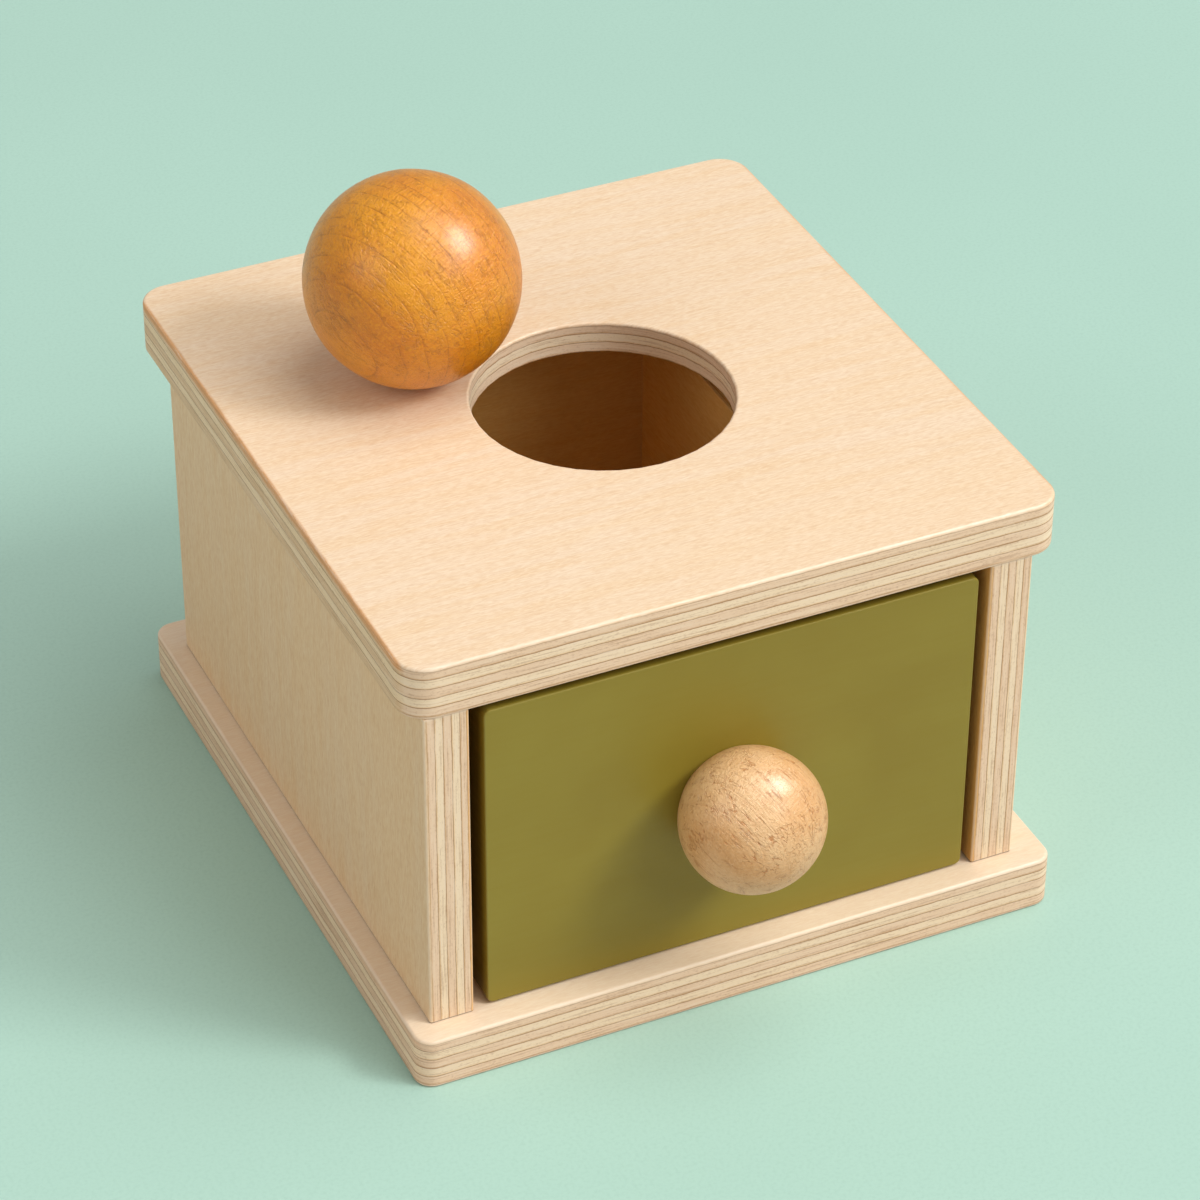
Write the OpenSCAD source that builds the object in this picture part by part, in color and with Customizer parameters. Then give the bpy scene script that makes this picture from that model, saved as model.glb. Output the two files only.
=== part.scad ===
// A wooden ball drop box: a plywood case with a round hole in its top, a
// pull-out drawer that catches the ball, a ball knob and one loose ball.
// Millimetres, +Z up, the drawer opens towards -Y. The origin is the centre
// of the base plate's underside.

/* [Base plate] */
// Width of the base plate
base_w = 144; // [138:0.5:160]
// Depth of the base plate, front to back
base_d = 155; // [148:0.5:175]
// Thickness of the base plate
base_t = 12; // [9:0.5:15]
// Radius of the base plate's upright corners
base_corner_r = 4; // [3:0.5:9]

/* [Top plate] */
// Thickness of the top plate
top_t = 12; // [11:0.5:15]
// Radius of the top plate's upright corners
top_corner_r = 6.5; // [3:0.5:9]
// How far the top plate's front edge stays behind the base plate's
top_lip = 5; // [3:0.5:8]
// How far each of the top plate's side edges stays inside the base plate's
top_side_lip = 1; // [0:0.25:3]
// Roundover along the edges of both plates
plate_edge_r = 0.7; // [0.5:0.1:2]

/* [Case] */
// Height of the side and back panels
case_h = 76; // [70:0.5:90]
// Thickness of a side panel
side_t = 9.5; // [9:0.5:12]
// Thickness of the back panel
back_t = 9.5; // [9:0.5:12]
// How far the side panels' front edges stay behind the base plate's
case_lip = 5.5; // [3:0.5:9]
// How far the side panels' back edges stay in front of the base plate's
case_back_lip = 9.5; // [4:0.5:11]
// Mean distance from a side panel's outer face to the base plate's side edge
case_side_lip = 6; // [3:0.5:9]
// How far the case sits off the plates' middle, to the left when negative
case_x = -1.5; // [-2.5:0.1:2.5]
// Eased edge on the upright corners of the side panels
panel_edge_r = 0.5; // [0.4:0.1:1.5]

/* [Drop hole] */
// Diameter of the hole that the ball drops through
hole_d = 55; // [50:0.5:60]
// Place of the hole to the right of the top plate's middle
hole_x = 3; // [-4:0.5:4]
// Place of the hole in front of the top plate's middle
hole_front = 2.5; // [0:0.5:6]
// Depth of hole wall that is left above the relief on the underside
hole_wall_h = 7; // [5:0.5:9]
// Diameter of the relief on the underside around the hole
relief_d = 76; // [66:1:82]
// Eased edge at the top of the hole
hole_ease = 0.6; // [0.2:0.1:1]

/* [Guide rails] */
// Width of a guide rail beside the drawer
rail_w = 9.5; // [8:0.5:11]
// Height of a guide rail
rail_h = 12; // [8:0.5:20]
// Gap between a guide rail and the drawer's side
rail_gap = 0.75; // [0.5:0.05:1.5]
// Gap between the guide rails' front ends and the shut drawer's front
rail_end_gap = 1; // [0.5:0.1:3]

/* [Drawer] */
// Thickness of the drawer front
front_t = 9.5; // [9:0.5:13]
// Mean gap at the sides of the drawer front
front_side_gap = 2.75; // [1.5:0.25:4]
// How far the drawer front sits to the right of the case's middle
front_shift = 0.5; // [-1:0.25:1]
// Gap above the drawer front
front_top_gap = 2.25; // [1:0.25:4]
// How far the drawer front stays behind the side panels' front edges
front_recess = 0.5; // [0:0.1:2]
// Radius of the drawer front's corners
front_corner_r = 1.4; // [1.2:0.1:3]
// Eased edge around the drawer front
front_edge_r = 0.5; // [0.4:0.1:1.1]
// Running gap under the drawer
drawer_lift = 0.4; // [0.2:0.1:0.8]
// Gap between the shut drawer and the back panel
drawer_back_gap = 0.5; // [0.3:0.1:2]
// Thickness of the drawer's sides and back
wall_t = 9.5; // [8:0.5:11]
// How much lower the drawer's sides and back are than its front
wall_drop = 1.5; // [0.5:0.25:6]
// Thickness of the drawer's bottom
floor_t = 4; // [3:0.5:6]
// Height of the drawer's bottom above the lower edge of its walls
floor_up = 3; // [2:0.5:6]
// Depth of the groove that holds the drawer's bottom
groove_depth = 3; // [2:0.5:4]
// Gap all round the drawer's bottom in its groove
groove_gap = 0.1; // [0.05:0.05:0.3]

/* [Knob] */
// Diameter of the ball knob
knob_d = 30; // [24:0.5:36]
// Distance from the knob's centre to the flat that sits on the drawer front
knob_flat = 10; // [9:0.5:13]

/* [Ball] */
// Diameter of the loose ball
ball_d = 45; // [44.5:0.5:50]
// Distance of the resting ball to the left of the hole's centre
ball_left = 32; // [30:0.5:40]
// Distance of the resting ball behind the hole's centre
ball_behind = 23.5; // [22:0.5:34]
// Gap under the resting ball
ball_gap = 0.1; // [0.05:0.05:0.3]

/* [Case fastenings] */
// Diameter of a dowel between the case's panels
dowel_d = 5; // [4:0.5:6]
// Length of a dowel between the case's panels
dowel_len = 22; // [18:0.5:26]
// Depth of a dowel's hole in the top plate
dowel_in_top = 7.5; // [5:0.5:9]
// Depth of a dowel's hole in a side panel's inner face
dowel_in_side = 6; // [4:0.5:7]
// Chamfer at each end of a dowel
dowel_chamfer = 0.6; // [0.2:0.1:1]
// Gap between a dowel or a screw and its hole, measured on the radius
fit_gap = 0.05; // [0.02:0.01:0.1]
// Room left at the end of a blind hole
end_room = 0.4; // [0.2:0.1:1]
// Distance from a panel's end to its first fastening
fastening_inset = 22; // [16:1:30]
// Diameter of a base screw's shank
screw_d = 3.5; // [3:0.1:4]
// Length of a base screw
screw_len = 30; // [26:1:36]
// Diameter of a base screw's countersunk head
screw_head_d = 7; // [6:0.1:8]
// How deep a base screw's head sits under the base plate's underside
screw_sunk = 0.6; // [0.2:0.1:1]

/* [Drawer fastenings] */
// Diameter of a dowel in the drawer
pin_d = 4; // [3:0.5:5]
// Length of a dowel in the drawer
pin_len = 18; // [14:0.5:22]
// Depth of a dowel's hole in the drawer front
pin_in_front = 5.5; // [4:0.5:6]
// Depth of a dowel's hole in a drawer side's inner face
pin_in_side = 5.5; // [4:0.5:6]
// Distance from a drawer wall's upper or lower edge to its nearest dowel
pin_inset = 16; // [13:1:22]
// Diameter of the knob screw's shank
knob_screw_d = 4; // [3.5:0.1:5]
// Diameter of the knob screw's countersunk head
knob_screw_head_d = 8; // [7.5:0.1:9]
// How deep the knob screw reaches into the knob
knob_screw_reach = 15; // [10:1:18]
// How deep the knob screw's head sits in the back of the drawer front
knob_screw_sunk = 0.4; // [0.1:0.1:0.8]

/* [Hidden] */
$fn = 96;
// Overrun of every cut past the face that it opens
over = 0.5;
// Small-part roundness
small_fn = 48;
// Depth of a countersunk head, its straight rim and its drive cross, as
// shares of the head's diameter
head_depth_share = 0.5;
head_rim_share = 0.05;
cross_long_share = 0.55;
cross_wide_share = 0.14;
cross_deep_share = 0.25;
// Length of a screw's pointed tip as a share of its shank's diameter
tip_share = 1.2;

// Plates
base_front_y = -base_d / 2;
top_w = base_w - 2 * top_side_lip;
top_d = base_d - top_lip;
top_y = top_lip / 2;
// Case
case_w = base_w - 2 * case_side_lip;
case_d = base_d - case_lip - case_back_lip;
case_front_y = base_front_y + case_lip;
case_back_y = case_front_y + case_d;
case_left_x = case_x - case_w / 2;
case_right_x = case_x + case_w / 2;
inner_w = case_w - 2 * side_t;
inner_left_x = case_left_x + side_t;
inner_right_x = case_right_x - side_t;
inner_back_y = case_back_y - back_t;
case_top_z = base_t + case_h;
top_face_z = case_top_z + top_t;
// Hole
hole_y = top_y - hole_front;
hole_r = hole_d / 2;
relief_r = relief_d / 2;
// Drawer
drawer_z = base_t + drawer_lift;
front_w = inner_w - 2 * front_side_gap;
front_h = case_h - front_top_gap - drawer_lift;
front_y = case_front_y + front_recess;
front_back_y = front_y + front_t;
drawer_w = inner_w - 2 * (rail_w + rail_gap);
drawer_left_x = case_x - drawer_w / 2;
drawer_right_x = case_x + drawer_w / 2;
drawer_back_y = inner_back_y - drawer_back_gap;
wall_len = drawer_back_y - front_back_y;
wall_h = front_h - wall_drop;
drawer_in_w = drawer_w - 2 * wall_t;
drawer_in_d = wall_len - wall_t;
floor_z = drawer_z + floor_up;
// Knob
knob_y = front_y - knob_flat;
knob_z = drawer_z + front_h / 2;
// Ball
ball_x = hole_x - ball_left;
ball_y = hole_y + ball_behind;
// Fastenings
side_ys = [case_front_y + fastening_inset, case_back_y - fastening_inset];
back_xs = [case_x - inner_w / 2 + fastening_inset, case_x + inner_w / 2 - fastening_inset];
left_mid_x = case_left_x + side_t / 2;
right_mid_x = case_right_x - side_t / 2;
back_mid_y = case_back_y - back_t / 2;
upright_spots = concat([for (y = side_ys) [left_mid_x, y]], [for (y = side_ys) [right_mid_x, y]],
                       [for (x = back_xs) [x, back_mid_y]]);
back_zs = [base_t + fastening_inset, case_top_z - fastening_inset];
pin_zs = [drawer_z + pin_inset, drawer_z + wall_h - pin_inset];
drawer_left_mid_x = drawer_left_x + wall_t / 2;
drawer_right_mid_x = drawer_right_x - wall_t / 2;
drawer_back_mid_y = drawer_back_y - wall_t / 2;

// One edge of a plate: a strip as wide as the corner radius, with its outer
// corners rounded
module edge_profile(t, r, e) {
    square([r - e, t]);
    translate([0, e]) square([r, t - 2 * e]);
    for (z = [e, t - e]) translate([r - e, z]) circle(e, $fn = small_fn);
}

// A flat plate, centred in X and Y, with round upright corners and rounded edges
module plate(w, d, t, r, e) {
    translate([r - w / 2, r - d / 2, 0]) cube([w - 2 * r, d - 2 * r, t]);
    for (turn = [0, 180]) rotate(turn) {
        translate([w / 2 - r, d / 2 - r, 0])
            rotate([90, 0, 0]) linear_extrude(d - 2 * r) edge_profile(t, r, e);
        translate([r - w / 2, d / 2 - r, 0])
            rotate([90, 0, 90]) linear_extrude(w - 2 * r) edge_profile(t, r, e);
        translate([w / 2 - r, d / 2 - r, 0])
            rotate_extrude(angle = 90) edge_profile(t, r, e);
        translate([r - w / 2, d / 2 - r, 0])
            rotate(90) rotate_extrude(angle = 90) edge_profile(t, r, e);
    }
}

// An upright board with its long corners eased, from its low corner
module board(w, d, h, r) {
    linear_extrude(h) {
        translate([r, 0]) square([w - 2 * r, d]);
        translate([0, r]) square([w, d - 2 * r]);
        for (x = [r, w - r], y = [r, d - r]) translate([x, y]) circle(r, $fn = small_fn);
    }
}

// A dowel that stands on its end
module dowel(d, len, c) {
    r = d / 2;
    rotate_extrude($fn = small_fn)
        polygon([[0, 0], [r - c, 0], [r, c], [r, len - c], [r - c, len], [0, len]]);
}

// The blind hole for a dowel, which opens at the origin and goes up
module dowel_hole(d, depth) {
    translate([0, 0, -over]) cylinder(h = depth + over, d = d + 2 * fit_gap, $fn = small_fn);
}

// A countersunk screw, its head down at the origin and its tip up
module screw(d, len, head_d) {
    head_h = head_d * head_depth_share;
    rim = head_d * head_rim_share;
    difference() {
        rotate_extrude($fn = small_fn)
            polygon([[0, 0], [head_d / 2, 0], [head_d / 2, rim], [d / 2, head_h],
                     [d / 2, len - d * tip_share], [0, len]]);
        for (turn = [0, 90]) rotate(turn)
            translate([-head_d * cross_long_share / 2, -head_d * cross_wide_share / 2, -over])
                cube([head_d * cross_long_share, head_d * cross_wide_share,
                      head_d * cross_deep_share + over]);
    }
}

// The hole for a countersunk screw, its head's mouth sunk below the origin
module screw_hole(d, len, head_d, sunk) {
    head_h = head_d * head_depth_share;
    rim = head_d * head_rim_share;
    translate([0, 0, -over])
        cylinder(h = sunk + rim + over, d = head_d + 2 * fit_gap, $fn = small_fn);
    translate([0, 0, sunk + rim])
        cylinder(h = head_h - rim, d1 = head_d + 2 * fit_gap, d2 = d + 2 * fit_gap, $fn = small_fn);
    translate([0, 0, sunk + head_h - over])
        cylinder(h = len - head_h + over + end_room, d = d + 2 * fit_gap, $fn = small_fn);
}

// Case dowels, upright ones under the top plate
module top_dowel_holes(z, depth) {
    for (p = upright_spots) translate([p[0], p[1], z]) dowel_hole(dowel_d, depth);
}

// Case dowels that lie across, from the side panels into the back panel
module across_case(x, turn) {
    for (z = back_zs) translate([x, back_mid_y, z]) rotate([0, turn, 0]) children();
}

// Screw places under the base plate
module base_screw_spots(z) {
    for (p = upright_spots) translate([p[0], p[1], z]) children();
}

module base_plate() {
    color([0.92, 0.80, 0.64]) difference() {
        plate(base_w, base_d, base_t, base_corner_r, plate_edge_r);
        base_screw_spots(0) screw_hole(screw_d, screw_len, screw_head_d, screw_sunk);
    }
}

module top_plate() {
    color([0.95, 0.84, 0.70]) difference() {
        translate([0, top_y, case_top_z]) plate(top_w, top_d, top_t, top_corner_r, plate_edge_r);
        translate([hole_x, hole_y, case_top_z - over]) cylinder(h = top_t + 2 * over, r = hole_r);
        translate([hole_x, hole_y, case_top_z - over])
            cylinder(h = top_t - hole_wall_h + over, r = relief_r);
        translate([hole_x, hole_y, top_face_z - hole_ease])
            cylinder(h = hole_ease + over, r1 = hole_r, r2 = hole_r + hole_ease + over);
        top_dowel_holes(case_top_z, dowel_in_top);
    }
}

// A side panel from its low left corner; the hole for the back panel's
// dowels opens on its inner face
module side_panel(x, inner_x, turn) {
    color([0.86, 0.74, 0.55]) difference() {
        translate([x, case_front_y, base_t]) board(side_t, case_d, case_h, panel_edge_r);
        base_screw_spots(0) screw_hole(screw_d, screw_len, screw_head_d, screw_sunk);
        translate([0, 0, case_top_z]) mirror([0, 0, 1])
            top_dowel_holes(0, dowel_len - dowel_in_top + 2 * end_room);
        across_case(inner_x, turn) dowel_hole(dowel_d, dowel_in_side);
    }
}

module left_side_panel() {
    side_panel(case_left_x, inner_left_x, -90);
}

module right_side_panel() {
    side_panel(inner_right_x, inner_right_x, 90);
}

module back_panel() {
    color([0.84, 0.72, 0.53]) difference() {
        translate([inner_left_x, inner_back_y, base_t]) cube([inner_w, back_t, case_h]);
        base_screw_spots(0) screw_hole(screw_d, screw_len, screw_head_d, screw_sunk);
        translate([0, 0, case_top_z]) mirror([0, 0, 1])
            top_dowel_holes(0, dowel_len - dowel_in_top + 2 * end_room);
        across_case(inner_left_x, 90) dowel_hole(dowel_d, dowel_len - dowel_in_side + 2 * end_room);
        across_case(inner_right_x, -90) dowel_hole(dowel_d, dowel_len - dowel_in_side + 2 * end_room);
    }
}

module guide_rail(x) {
    start_y = front_back_y + rail_end_gap;
    color([0.80, 0.66, 0.46]) translate([x, start_y, base_t])
        cube([rail_w, inner_back_y - start_y, rail_h]);
}

module left_guide_rail() {
    guide_rail(inner_left_x);
}

module right_guide_rail() {
    guide_rail(inner_right_x - rail_w);
}

module top_dowels() {
    color([0.85, 0.70, 0.48]) for (p = upright_spots)
        translate([p[0], p[1], case_top_z + dowel_in_top - end_room - dowel_len])
            dowel(dowel_d, dowel_len, dowel_chamfer);
}

module back_dowels() {
    start = dowel_in_side - end_room;
    color([0.85, 0.70, 0.48]) {
        across_case(inner_left_x - start, 90) dowel(dowel_d, dowel_len, dowel_chamfer);
        across_case(inner_right_x + start, -90) dowel(dowel_d, dowel_len, dowel_chamfer);
    }
}

module base_screws() {
    color([0.70, 0.70, 0.68]) base_screw_spots(screw_sunk) screw(screw_d, screw_len, screw_head_d);
}

// The panel that fills the groove round the inside of the drawer, grown by a gap
module drawer_floor(gap) {
    grow = groove_depth - groove_gap + gap;
    translate([drawer_left_x + wall_t - grow, front_back_y - grow, floor_z - gap])
        cube([drawer_in_w + 2 * grow, drawer_in_d + 2 * grow, floor_t + 2 * gap]);
}

// Drawer dowels that run front to back, at the front ends of the drawer's sides
module front_pins() {
    for (x = [drawer_left_mid_x, drawer_right_mid_x], z = pin_zs)
        translate([x, front_back_y, z]) rotate([-90, 0, 0]) children();
}

// Drawer dowels that lie across, from the drawer's sides into its back
module back_pins(x, turn) {
    for (z = pin_zs) translate([x, drawer_back_mid_y, z]) rotate([0, turn, 0]) children();
}

module drawer_front() {
    color([0.55, 0.51, 0.22]) difference() {
        translate([case_x + front_shift, front_back_y, drawer_z + front_h / 2]) rotate([90, 0, 0])
            plate(front_w, front_h, front_t, front_corner_r, front_edge_r);
        drawer_floor(groove_gap);
        front_pins() rotate([180, 0, 0]) dowel_hole(pin_d, pin_in_front);
        translate([case_x, front_back_y, knob_z]) rotate([90, 0, 0])
            screw_hole(knob_screw_d, front_t + over, knob_screw_head_d, knob_screw_sunk);
    }
}

// A drawer side from its left face; the hole for the back's dowels opens on
// its inner face
module drawer_side(x, inner_x, turn) {
    color([0.87, 0.75, 0.57]) difference() {
        translate([x, front_back_y, drawer_z]) cube([wall_t, wall_len, wall_h]);
        drawer_floor(groove_gap);
        front_pins() dowel_hole(pin_d, pin_len - pin_in_front + 2 * end_room);
        back_pins(inner_x, turn) dowel_hole(pin_d, pin_in_side);
    }
}

module drawer_left_side() {
    drawer_side(drawer_left_x, drawer_left_x + wall_t, -90);
}

module drawer_right_side() {
    drawer_side(drawer_right_x - wall_t, drawer_right_x - wall_t, 90);
}

module drawer_back() {
    left = drawer_left_x + wall_t;
    right = drawer_right_x - wall_t;
    color([0.87, 0.75, 0.57]) difference() {
        translate([left, drawer_back_y - wall_t, drawer_z]) cube([drawer_in_w, wall_t, wall_h]);
        drawer_floor(groove_gap);
        back_pins(left, 90) dowel_hole(pin_d, pin_len - pin_in_side + 2 * end_room);
        back_pins(right, -90) dowel_hole(pin_d, pin_len - pin_in_side + 2 * end_room);
    }
}

module drawer_bottom() {
    color([0.88, 0.77, 0.60]) drawer_floor(0);
}

module drawer_front_dowels() {
    color([0.85, 0.70, 0.48]) front_pins()
        translate([0, 0, end_room - pin_in_front]) dowel(pin_d, pin_len, dowel_chamfer);
}

module drawer_back_dowels() {
    start = pin_in_side - end_room;
    color([0.85, 0.70, 0.48]) {
        back_pins(drawer_left_x + wall_t - start, 90) dowel(pin_d, pin_len, dowel_chamfer);
        back_pins(drawer_right_x - wall_t + start, -90) dowel(pin_d, pin_len, dowel_chamfer);
    }
}

// The knob turned about its own axis, its flat at the bottom
module knob_body() {
    rotate_extrude() intersection() {
        circle(d = knob_d);
        translate([0, -knob_flat]) square([knob_d, knob_flat + knob_d]);
    }
}

module knob() {
    color([0.90, 0.74, 0.54]) difference() {
        translate([case_x, knob_y, knob_z]) rotate([90, 0, 0]) knob_body();
        translate([case_x, front_y + over, knob_z]) rotate([90, 0, 0])
            cylinder(h = knob_screw_reach + end_room + over, d = knob_screw_d + 2 * fit_gap,
                     $fn = small_fn);
    }
}

module knob_screw() {
    color([0.70, 0.70, 0.68])
        translate([case_x, front_back_y - knob_screw_sunk, knob_z]) rotate([90, 0, 0])
            screw(knob_screw_d, front_t - knob_screw_sunk + knob_screw_reach, knob_screw_head_d);
}

module ball() {
    color([0.86, 0.58, 0.22])
        translate([ball_x, ball_y, top_face_z + ball_gap + ball_d / 2]) sphere(d = ball_d);
}

base_plate();
left_side_panel();
right_side_panel();
back_panel();
top_plate();
left_guide_rail();
right_guide_rail();
top_dowels();
back_dowels();
base_screws();
drawer_front();
drawer_left_side();
drawer_right_side();
drawer_back();
drawer_bottom();
drawer_front_dowels();
drawer_back_dowels();
knob();
knob_screw();
ball();
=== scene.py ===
import math

import bmesh
import bpy
from mathutils import Matrix, Vector, noise


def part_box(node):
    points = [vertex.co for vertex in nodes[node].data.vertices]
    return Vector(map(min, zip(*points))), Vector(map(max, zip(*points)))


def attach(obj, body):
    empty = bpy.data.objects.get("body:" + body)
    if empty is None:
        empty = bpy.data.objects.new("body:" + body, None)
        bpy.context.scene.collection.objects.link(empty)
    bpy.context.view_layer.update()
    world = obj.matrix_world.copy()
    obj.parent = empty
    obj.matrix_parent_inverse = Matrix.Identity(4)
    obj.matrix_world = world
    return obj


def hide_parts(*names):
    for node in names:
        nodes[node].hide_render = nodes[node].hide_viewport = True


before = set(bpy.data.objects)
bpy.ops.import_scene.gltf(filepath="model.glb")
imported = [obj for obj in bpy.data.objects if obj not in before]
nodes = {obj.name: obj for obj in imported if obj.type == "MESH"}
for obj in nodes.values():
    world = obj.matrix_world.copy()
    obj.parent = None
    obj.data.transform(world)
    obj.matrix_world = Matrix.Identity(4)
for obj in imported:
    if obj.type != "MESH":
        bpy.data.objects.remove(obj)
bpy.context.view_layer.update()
scene = bpy.context.scene
mm = 0.001
samePoint = 0.001 * mm  # points nearer than this are one
fullTurn = math.tau
white = (255, 255, 255)
noiseRange = (0.3, 0.7)  # where nearly all of a noise's values lie
print("frame loaded:", len(nodes), "nodes")


# Helpers for the material nodes

def linear(rgb):
    # 0-255 screen colour to the linear colour that the sockets want
    steps = [c / 255 for c in rgb]
    return tuple(c / 12.92 if c <= 0.04045 else ((c + 0.055) / 1.055) ** 2.4 for c in steps) + (1,)


def addNode(tree, kind, inputs=None, **settings):
    # an input that is a socket gets linked, any other value is set
    made = tree.nodes.new("ShaderNode" + kind)
    for key, value in settings.items():
        setattr(made, key, value)
    for key, value in (inputs or {}).items():
        if isinstance(value, bpy.types.NodeSocket):
            tree.links.new(value, made.inputs[key])
        else:
            made.inputs[key].default_value = value
    return made


def objectPlace(tree):
    return addNode(tree, "TexCoord").outputs["Object"]


def split(tree, vector):
    return addNode(tree, "SeparateXYZ", {0: vector}).outputs


def mapped(tree, vector, **inputs):
    # inputs are Location, Rotation or Scale
    return addNode(tree, "Mapping", {"Vector": vector, **inputs}).outputs[0]


def calc(tree, operation, a, b=0.0):
    return addNode(tree, "Math", {0: a, 1: b}, operation=operation).outputs[0]


def spread(tree, value, low, high, toLow=0.0, toHigh=1.0):
    return addNode(tree, "MapRange", {0: value, 1: low, 2: high, 3: toLow, 4: toHigh}).outputs[0]


def fade(tree, distance, reach, near, far=0.0):
    # reach is two distances in millimetres: near holds up to the first, far from the second on
    return spread(tree, distance, reach[0] * mm, reach[1] * mm, near, far)


def blendColours(tree, factor, a, b, how="MIX"):
    # inputs 6 and 7 and output 2 are the node's colours
    mixed = addNode(tree, "Mix", {0: factor, 6: a, 7: b}, data_type="RGBA", blend_type=how)
    return mixed.outputs[2]


def colourRamp(tree, factor, stops):
    ramp = addNode(tree, "ValToRGB", {0: factor})
    elements = ramp.color_ramp.elements
    while len(elements) < len(stops):
        elements.new(0.5)
    for element, (place, colour) in zip(elements, stops):
        element.position = place
        element.color = linear(colour)
    return ramp.outputs[0]


def makeNoises(tree, vector, table, axes=(0, 1, 2)):
    # a noise is (its scales along the axes, detail, roughness, distortion)
    made = {}
    for name, (scales, detail, roughness, distortion) in table.items():
        byAxis = tuple(scales[axes.index(axis)] for axis in range(3))
        made[name] = addNode(tree, "TexNoise", {
            "Vector": mapped(tree, vector, Scale=byAxis), "Scale": 1.0, "Detail": detail,
            "Roughness": roughness, "Distortion": distortion}).outputs[0]
    return made


def weightedSum(tree, noises, shares):
    parts = [calc(tree, "MULTIPLY", noises[name], share) for name, share in shares.items()]
    total = parts[0]
    for part in parts[1:]:
        total = calc(tree, "ADD", total, part)
    return total


def layered(tree, colour, look, noises, layers):
    # a layer is (noise, where it starts, where it is full, its strength there, its colour)
    for name, start, full, strength, shade in layers:
        amount = spread(tree, noises[name], start, full, 0.0, strength)
        colour = blendColours(tree, amount, colour, linear(look[shade]))
    return colour


def edgeNearness(tree, parts, low, high, reach):
    # 1 on an edge of the board, 0 further in than reach: the second nearest face decides
    near = []
    for axis in range(3):
        fromLow = calc(tree, "SUBTRACT", parts[axis], low[axis])
        fromHigh = calc(tree, "SUBTRACT", high[axis], parts[axis])
        near.append(calc(tree, "MINIMUM", fromLow, fromHigh))
    lesser = calc(tree, "MINIMUM", near[0], near[1])
    greater = calc(tree, "MAXIMUM", near[0], near[1])
    second = calc(tree, "MAXIMUM", lesser, calc(tree, "MINIMUM", greater, near[2]))
    return fade(tree, second, (0.0, reach), 1.0)


def freshMaterial(name):
    mat = bpy.data.materials.new(name)
    mat.use_nodes = True
    mat.node_tree.nodes.clear()
    return mat, mat.node_tree


plainFinish = {  # what a look has where it doesn't say otherwise; coat is (weight, roughness)
    "metallic": 0.0, "specular": 0.4, "coat": (0.0, 0.25)}


def finishMaterial(tree, colour, roughness, height, look):
    # bump is (strength, reach in millimetres)
    look = {**plainFinish, **look}
    strength, reach = look["bump"]
    bump = addNode(tree, "Bump", {"Height": height, "Strength": strength, "Distance": reach * mm})
    shader = addNode(tree, "BsdfPrincipled", {
        "Base Color": colour, "Roughness": roughness, "Metallic": look["metallic"],
        "Specular IOR Level": look["specular"], "Coat Weight": look["coat"][0],
        "Coat Roughness": look["coat"][1], "Normal": bump.outputs[0]})
    addNode(tree, "OutputMaterial", {"Surface": shader.outputs[0]})


# Plywood. Joints, waves and blends are shares of the thickness, from one face veneer to the
# other; the noises' scales are along the face grain, across it, and through the plies

plyLook = {
    "veneer": (239, 214, 185), "veneerDark": (236, 205, 167), "cloudy": (239, 210, 174),
    # the pale rubbed-edge colour on the next line is partly wear and partly a painted highlight
    "fleck": (220, 181, 139), "pale": (248, 230, 206), "wornSheen": (253, 240, 220),
    "cross": (241, 214, 183), "long": (250, 230, 198), "glue": (148, 98, 52),
    "crossEdge": (224, 188, 146), "longEdge": (242, 212, 168), "streak": (168, 118, 68),
    # a painted contact shadow for a board's lower end, where it stands on another board
    "contactShade": (104, 70, 40),
    "veneerEnd": (226, 160, 92), "crossEnd": (226, 194, 150), "longEnd": (242, 218, 178),
    "glueEnd": (136, 98, 60),
    "joints": (0.06, 0.24, 0.42, 0.61, 0.79, 0.94), "glueWidth": 0.012, "soakWidth": 0.04,
    "brownEnd": (0.84, 0.9), "slowWave": 0.012, "quickWave": 0.009,
    "faceBlend": 0.01, "innerShadeBlend": 0.05,
    "endReach": (0.35, 1.0), "contactShadeReach": (0.15, 0.4), "wornSheenReach": 0.6,  # millimetres
    "seedShares": (1.0, 0.7, 0.4),
    "noises": {
        "slowWave": ((45, 45, 45), 2, 0.55, 0.0), "quickWave": ((420, 420, 420), 1, 0.55, 0.0),
        "streaks": ((90, 90, 2900), 3, 0.6, 0.0), "pores": ((1500, 1500, 2200), 2, 0.6, 0.0),
        "dots": ((1300, 1300, 2900), 1, 0.5, 0.0), "figure": ((24, 360, 160), 3, 0.6, 0.6),
        "cloud": ((10, 55, 30), 3, 0.55, 0.3), "flecks": ((560, 3000, 900), 2, 0.5, 0.5),
        "ripple": ((200, 1500, 400), 2, 0.6, 1.0)},
    "cutEdge": {"streaks": 0.8, "pores": 0.2},
    "edgeLayers": (("cutEdge", 0.52, 0.64, 0.36, "streak"), ("dots", 0.6, 0.72, 0.22, "streak"),
                   ("cutEdge", 0.48, 0.36, 0.5, "pale")),
    "faceLayers": (("figure", 0.42, 0.66, 1.0, "veneerDark"),
                   ("cloud", 0.42, 0.66, 0.7, "cloudy"), ("flecks", 0.5, 0.7, 0.34, "fleck"),
                   ("ripple", 0.5, 0.7, 0.28, "fleck"), ("flecks", 0.5, 0.34, 0.4, "pale"),
                   ("ripple", 0.46, 0.3, 0.3, "pale")),
    "relief": {"flecks": -0.6, "grooves": -0.7},
    "roughness": (0.4, 0.52), "specular": 0.35, "bump": (0.25, 0.12),
}


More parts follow.
